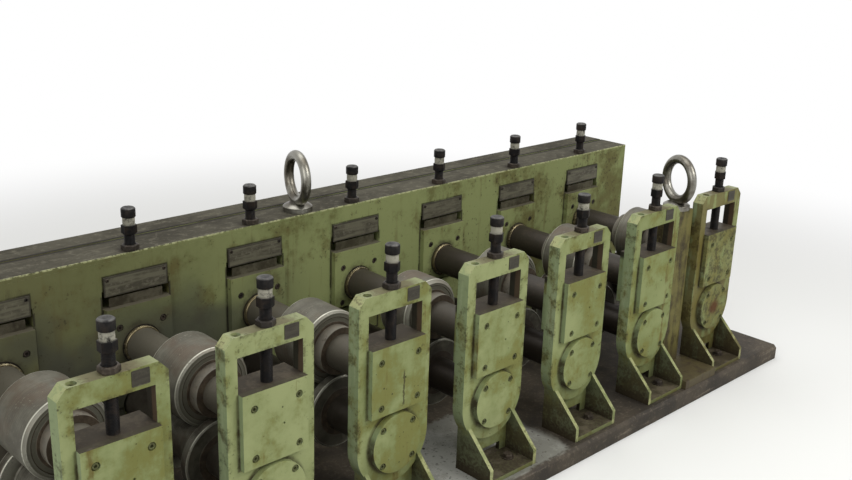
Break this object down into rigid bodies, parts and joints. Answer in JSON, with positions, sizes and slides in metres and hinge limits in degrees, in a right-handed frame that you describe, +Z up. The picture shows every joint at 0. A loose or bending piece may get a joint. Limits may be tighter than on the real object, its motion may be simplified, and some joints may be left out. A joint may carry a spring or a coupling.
{
  "type": "tube mill roll stand raft",
  "caption": "Raft of a tube forming line: a base plate with a drive box, outboard stands, and pairs of forming rolls on shafts between them, with adjusting screws and lifting eyes.",
  "frame": {"origin": "centre of the base plate's underside", "axes": "+X along the row of stands, +Y from the outboard stands to the drive box, +Z up"},
  "size_m": [2.694, 0.9, 0.8119],
  "materials": {
    "base": "oily, worn",
    "green_paint": "chipped satin",
    "strip_steel": "worn, dirty",
    "plate_grey": "dull",
    "roll_steel": "turned, bright edges",
    "dark_steel": "oiled",
    "eye_steel": "polished",
    "post_steel": "rusty"
  },
  "bodies": {
    "raft": {"base_plate": "base", "drive_box": "green_paint", "top_strips": "strip_steel", "end_plates": "green_paint", "scale_plates": "plate_grey", "round_covers": "green_paint", "stand_nuts": "dark_steel", "box_nuts": "dark_steel", "box_eye": "eye_steel", "lifting_post": "post_steel", "post_eye": "eye_steel", "outboard_stand_1": "green_paint", "outboard_stand_2": "green_paint", "outboard_stand_3": "green_paint", "outboard_stand_4": "green_paint", "outboard_stand_5": "green_paint", "outboard_stand_6": "green_paint", "outboard_stand_7": "green_paint"},
    "top_chocks_1": {"outboard_chock_1": "green_paint", "inboard_chock_1": "green_paint"},
    "upper_rolls_1": {"upper_arbor_1": "roll_steel"},
    "lower_rolls_1": {"lower_arbor_1": "roll_steel"},
    "top_chocks_2": {"outboard_chock_2": "green_paint", "inboard_chock_2": "green_paint"},
    "upper_rolls_2": {"upper_arbor_2": "roll_steel"},
    "lower_rolls_2": {"lower_arbor_2": "roll_steel"},
    "top_chocks_3": {"outboard_chock_3": "green_paint", "inboard_chock_3": "green_paint"},
    "upper_rolls_3": {"upper_arbor_3": "roll_steel"},
    "lower_rolls_3": {"lower_arbor_3": "roll_steel"},
    "top_chocks_4": {"outboard_chock_4": "green_paint", "inboard_chock_4": "green_paint"},
    "upper_rolls_4": {"upper_arbor_4": "roll_steel"},
    "lower_rolls_4": {"lower_arbor_4": "roll_steel"},
    "top_chocks_5": {"outboard_chock_5": "green_paint", "inboard_chock_5": "green_paint"},
    "upper_rolls_5": {"upper_arbor_5": "roll_steel"},
    "lower_rolls_5": {"lower_arbor_5": "roll_steel"},
    "top_chocks_6": {"outboard_chock_6": "green_paint", "inboard_chock_6": "green_paint"},
    "upper_rolls_6": {"upper_arbor_6": "roll_steel"},
    "lower_rolls_6": {"lower_arbor_6": "roll_steel"},
    "top_chocks_7": {"outboard_chock_7": "green_paint", "inboard_chock_7": "green_paint"},
    "upper_rolls_7": {"upper_arbor_7": "roll_steel"},
    "lower_rolls_7": {"lower_arbor_7": "roll_steel"}
  },
  "joints": [
    {"name": "roll_gap_1", "type": "slide", "parent": "raft", "child": "top_chocks_1", "axis": [0, 0, 1], "range_m": [-0.003, 0.012]},
    {"name": "upper_spin_1", "type": "hinge", "parent": "top_chocks_1", "child": "upper_rolls_1", "pos_m": [-1.05, -0.049, 0.403], "axis": [0, 1, 0], "continuous": true},
    {"name": "lower_spin_1", "type": "hinge", "parent": "raft", "child": "lower_rolls_1", "pos_m": [-1.05, -0.049, 0.239], "axis": [0, 1, 0], "continuous": true},
    {"name": "roll_gap_2", "type": "slide", "parent": "raft", "child": "top_chocks_2", "axis": [0, 0, 1], "range_m": [-0.003, 0.012]},
    {"name": "upper_spin_2", "type": "hinge", "parent": "top_chocks_2", "child": "upper_rolls_2", "pos_m": [-0.7, -0.049, 0.403], "axis": [0, 1, 0], "continuous": true},
    {"name": "lower_spin_2", "type": "hinge", "parent": "raft", "child": "lower_rolls_2", "pos_m": [-0.7, -0.049, 0.239], "axis": [0, 1, 0], "continuous": true},
    {"name": "roll_gap_3", "type": "slide", "parent": "raft", "child": "top_chocks_3", "axis": [0, 0, 1], "range_m": [-0.003, 0.012]},
    {"name": "upper_spin_3", "type": "hinge", "parent": "top_chocks_3", "child": "upper_rolls_3", "pos_m": [-0.35, -0.049, 0.403], "axis": [0, 1, 0], "continuous": true},
    {"name": "lower_spin_3", "type": "hinge", "parent": "raft", "child": "lower_rolls_3", "pos_m": [-0.35, -0.049, 0.239], "axis": [0, 1, 0], "continuous": true},
    {"name": "roll_gap_4", "type": "slide", "parent": "raft", "child": "top_chocks_4", "axis": [0, 0, 1], "range_m": [-0.003, 0.012]},
    {"name": "upper_spin_4", "type": "hinge", "parent": "top_chocks_4", "child": "upper_rolls_4", "pos_m": [0, -0.049, 0.403], "axis": [0, 1, 0], "continuous": true},
    {"name": "lower_spin_4", "type": "hinge", "parent": "raft", "child": "lower_rolls_4", "pos_m": [0, -0.049, 0.239], "axis": [0, 1, 0], "continuous": true},
    {"name": "roll_gap_5", "type": "slide", "parent": "raft", "child": "top_chocks_5", "axis": [0, 0, 1], "range_m": [-0.003, 0.012]},
    {"name": "upper_spin_5", "type": "hinge", "parent": "top_chocks_5", "child": "upper_rolls_5", "pos_m": [0.35, -0.049, 0.403], "axis": [0, 1, 0], "continuous": true},
    {"name": "lower_spin_5", "type": "hinge", "parent": "raft", "child": "lower_rolls_5", "pos_m": [0.35, -0.049, 0.239], "axis": [0, 1, 0], "continuous": true},
    {"name": "roll_gap_6", "type": "slide", "parent": "raft", "child": "top_chocks_6", "axis": [0, 0, 1], "range_m": [-0.003, 0.012]},
    {"name": "upper_spin_6", "type": "hinge", "parent": "top_chocks_6", "child": "upper_rolls_6", "pos_m": [0.7, -0.049, 0.403], "axis": [0, 1, 0], "continuous": true},
    {"name": "lower_spin_6", "type": "hinge", "parent": "raft", "child": "lower_rolls_6", "pos_m": [0.7, -0.049, 0.239], "axis": [0, 1, 0], "continuous": true},
    {"name": "roll_gap_7", "type": "slide", "parent": "raft", "child": "top_chocks_7", "axis": [0, 0, 1], "range_m": [-0.003, 0.012]},
    {"name": "upper_spin_7", "type": "hinge", "parent": "top_chocks_7", "child": "upper_rolls_7", "pos_m": [1.05, -0.049, 0.403], "axis": [0, 1, 0], "continuous": true},
    {"name": "lower_spin_7", "type": "hinge", "parent": "raft", "child": "lower_rolls_7", "pos_m": [1.05, -0.049, 0.239], "axis": [0, 1, 0], "continuous": true}
  ],
  "couplings": [
    {"joint": "lower_spin_1", "follows": "upper_spin_1", "ratio": -1},
    {"joint": "upper_spin_2", "follows": "upper_spin_1", "ratio": 1},
    {"joint": "lower_spin_2", "follows": "upper_spin_1", "ratio": -1},
    {"joint": "upper_spin_3", "follows": "upper_spin_1", "ratio": 1},
    {"joint": "lower_spin_3", "follows": "upper_spin_1", "ratio": -1},
    {"joint": "upper_spin_4", "follows": "upper_spin_1", "ratio": 1},
    {"joint": "lower_spin_4", "follows": "upper_spin_1", "ratio": -1},
    {"joint": "upper_spin_5", "follows": "upper_spin_1", "ratio": 1},
    {"joint": "lower_spin_5", "follows": "upper_spin_1", "ratio": -1},
    {"joint": "upper_spin_6", "follows": "upper_spin_1", "ratio": 1},
    {"joint": "lower_spin_6", "follows": "upper_spin_1", "ratio": -1},
    {"joint": "upper_spin_7", "follows": "upper_spin_1", "ratio": 1},
    {"joint": "lower_spin_7", "follows": "upper_spin_1", "ratio": -1}
  ]
}
